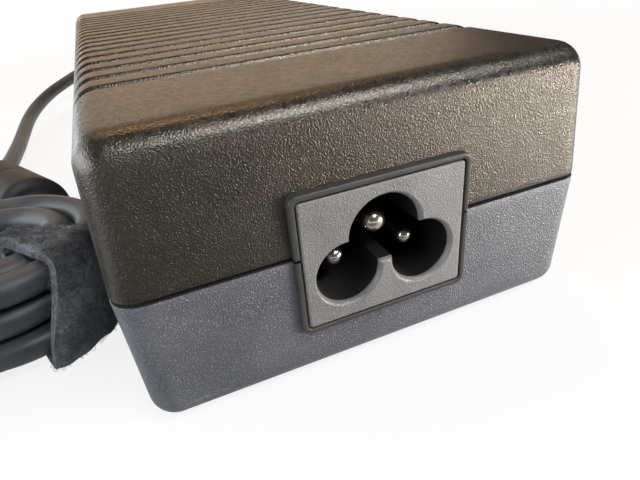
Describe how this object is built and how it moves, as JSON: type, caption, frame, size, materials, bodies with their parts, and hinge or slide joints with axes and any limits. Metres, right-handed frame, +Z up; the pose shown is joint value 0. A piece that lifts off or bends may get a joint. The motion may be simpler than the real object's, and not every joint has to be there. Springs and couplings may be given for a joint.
{
  "type": "laptop power adapter",
  "caption": "Black two-part power brick with grooved lid, cloverleaf mains inlet, and an output lead with ferrite, strapped hank and barrel plug.",
  "frame": {"origin": "middle of the housing's footprint, on the surface it stands on", "axes": "+Z up, +Y along the housing's length away from the mains inlet towards the output lead, +X to the right seen from the inlet"},
  "size_m": [0.1834, 0.2073, 0.0355],
  "materials": {
    "upper_case": "fine grain, semi-matte",
    "lower_case": "fine grain, semi-matte",
    "inlet_plastic": "satin",
    "pin_metal": "polished nickel",
    "cord_rubber": "satin",
    "moulded_rubber": "satin",
    "strap_fabric": "looped pile",
    "board_green": "solder mask",
    "shield_steel": "brushed",
    "insulating_card": "matte card",
    "sink_aluminium": "milled",
    "ferrite_dark": "sintered matte",
    "copper_wire": "enamelled",
    "winding_tape": "film tape",
    "package_black": "moulded epoxy",
    "sleeve_blue": "shrink sleeve",
    "sleeve_green": "shrink sleeve",
    "film_yellow": "moulded box",
    "ceramic_blue": "dipped epoxy",
    "ceramic_green": "dipped epoxy",
    "fuse_brown": "moulded box",
    "wire_brown": "wire insulation",
    "wire_blue": "wire insulation",
    "wire_green": "wire insulation",
    "wire_red": "wire insulation",
    "steel_screw": "zinc plated",
    "contact_brass": "spring brass",
    "insulator_black": "moulded"
  },
  "bodies": {
    "root": {"upper_shell": "upper_case", "lower_shell": "lower_case", "inlet_body": "inlet_plastic", "line_pin": "pin_metal", "neutral_pin": "pin_metal", "earth_pin": "pin_metal", "line_wire": "wire_brown", "neutral_wire": "wire_blue", "earth_wire": "wire_green", "insulating_sheet": "insulating_card", "lower_shield": "shield_steel", "upper_shield": "shield_steel", "main_board": "board_green", "fuse": "fuse_brown", "varistor": "ceramic_blue", "inrush_thermistor": "ceramic_green", "x_capacitor": "film_yellow", "choke_core": "ferrite_dark", "choke_winding": "copper_wire", "y_capacitors": "ceramic_blue", "bridge_rectifier": "package_black", "primary_heatsink": "sink_aluminium", "boost_inductor": "copper_wire", "boost_transistor": "package_black", "switch_transistor": "package_black", "bulk_capacitor": "sleeve_blue", "controller_chips": "package_black", "transformer_core": "ferrite_dark", "transformer_bobbin": "package_black", "transformer_winding": "winding_tape", "optocoupler": "package_black", "secondary_heatsink": "sink_aluminium", "output_rectifier": "package_black", "output_capacitors": "sleeve_green", "output_inductor": "copper_wire", "heatsink_screws": "steel_screw", "output_wires": "wire_red", "cord_relief": "moulded_rubber", "dc_lead": "cord_rubber", "ferrite_cover": "moulded_rubber", "ferrite_core": "ferrite_dark", "cord_hank": "cord_rubber", "cord_strap": "strap_fabric", "dc_tail": "cord_rubber", "plug_relief": "moulded_rubber", "plug_body": "moulded_rubber", "plug_barrel": "pin_metal", "plug_insulator": "insulator_black", "plug_contact": "contact_brass"}
  },
  "joints": []
}
